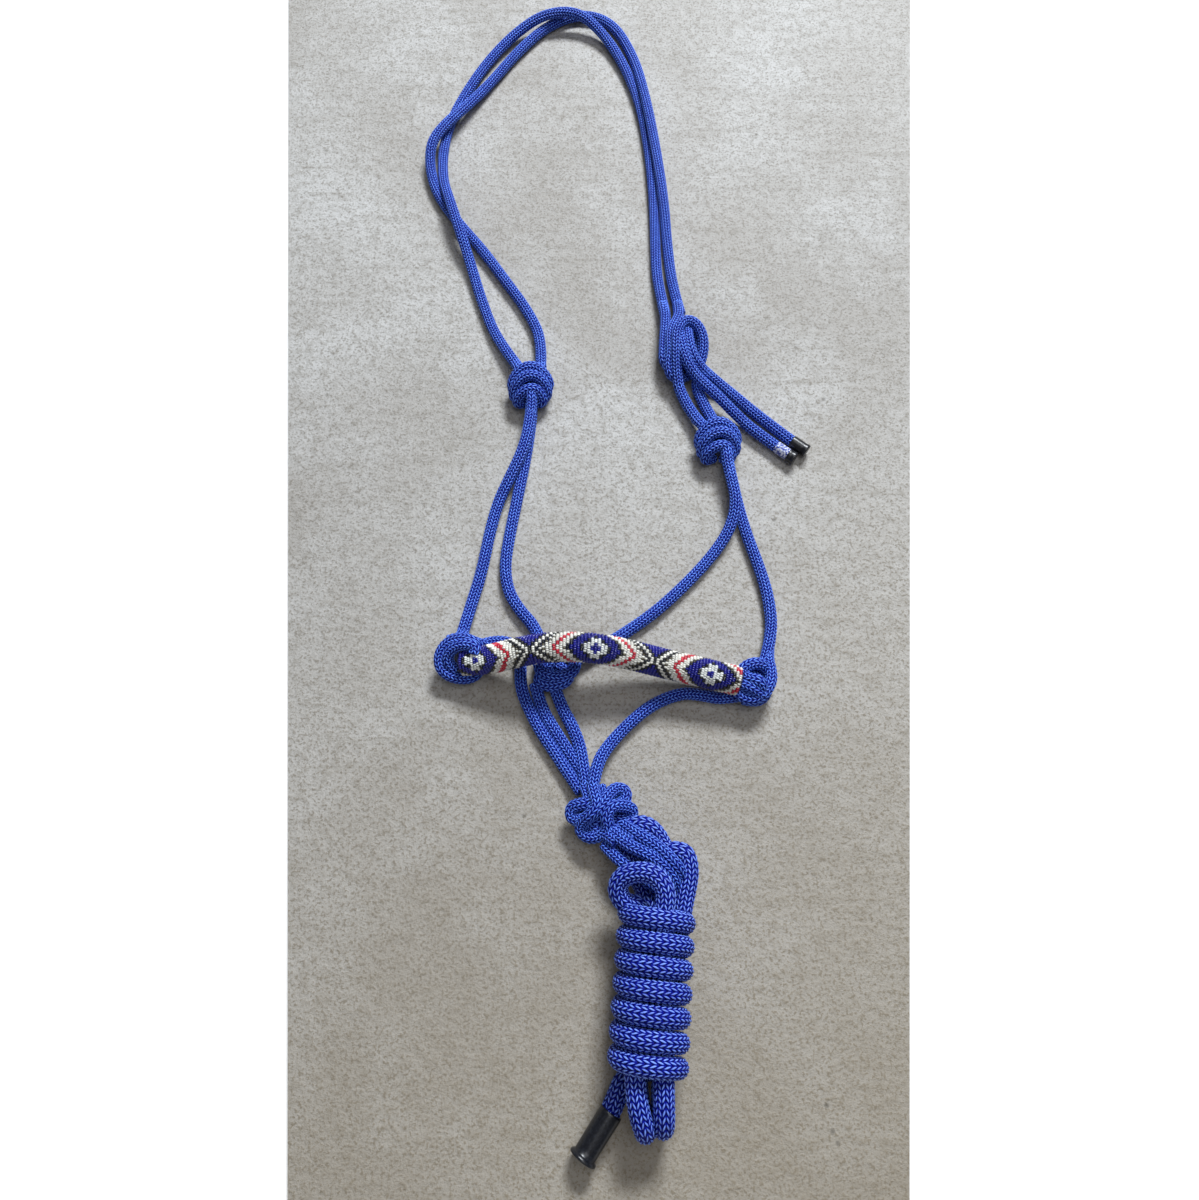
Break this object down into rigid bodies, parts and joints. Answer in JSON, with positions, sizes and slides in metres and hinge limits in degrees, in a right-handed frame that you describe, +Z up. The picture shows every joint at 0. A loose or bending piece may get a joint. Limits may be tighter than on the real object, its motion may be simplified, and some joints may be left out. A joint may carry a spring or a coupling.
{
  "type": "rope halter",
  "caption": "Hand-tied rope halter with a beaded noseband, doubled crown, fiador knot and a hanked lead rope with a flared end cap.",
  "frame": {"origin": "on the ground, under the centre of the halter's own box, measured without the lead rope", "axes": "+X from the left cheek knot to the tie side, +Y towards the crown, +Z up from the ground that the halter lies on"},
  "size_m": [0.2822, 0.8429, 0.044],
  "materials": {
    "halter_rope": "braided polyester, slight sheen",
    "lead_rope": "coarse braided polyester, slight sheen",
    "beads": "glossy seed beads in white, cobalt, red, black and bronze",
    "cap_plastic": "glossy black moulded end cap"
  },
  "bodies": {
    "face": {"cheek_knot_left": "halter_rope", "cheek_knot_right": "halter_rope", "cheek_strand_left": "halter_rope", "cheek_strand_right": "halter_rope", "throat_strand_left": "halter_rope", "throat_strand_right": "halter_rope", "throat_knot": "halter_rope", "nose_knot_left": "halter_rope", "nose_knot_right": "halter_rope", "noseband_rope_front": "halter_rope", "noseband_rope_rear": "halter_rope", "bead_sleeve": "beads", "chin_lead_in_left": "halter_rope", "chin_lead_in_right": "halter_rope"},
    "crown": {"crown_strand_outer": "halter_rope", "crown_strand_inner": "halter_rope", "sheet_bend_knot": "halter_rope", "tie_loop_left": "halter_rope", "tie_loop_right": "halter_rope", "tail_upper": "halter_rope", "tail_lower": "halter_rope", "tail_cap_upper": "cap_plastic", "tail_cap_lower": "cap_plastic"},
    "chin": {"chin_strand_left": "halter_rope", "chin_strand_right": "halter_rope", "throat_drop_left": "halter_rope", "throat_drop_right": "halter_rope", "fiador_knot": "halter_rope"},
    "lead": {"lead_loop_upper": "halter_rope", "lead_loop_lower": "halter_rope", "lead_eye": "lead_rope", "lead_curl": "lead_rope", "lead_hank": "lead_rope", "lead_bights": "lead_rope", "lead_tail": "lead_rope", "lead_cap": "cap_plastic"}
  },
  "joints": [
    {"name": "crown_fold", "type": "hinge", "parent": "face", "child": "crown", "pos_m": [-0.054, -0.013, 0.012], "axis": [0.9472, -0.3206, 0], "range_deg": [0, 120]},
    {"name": "chin_fold", "type": "hinge", "parent": "face", "child": "chin", "pos_m": [-0.096, -0.21, 0.011], "axis": [-0.9958, 0.091, 0], "range_deg": [0, 50]},
    {"name": "lead_swing", "type": "hinge", "parent": "chin", "child": "lead", "pos_m": [-0.005, -0.307, 0.012], "axis": [0, 0, 1], "range_deg": [-40, 40]}
  ]
}
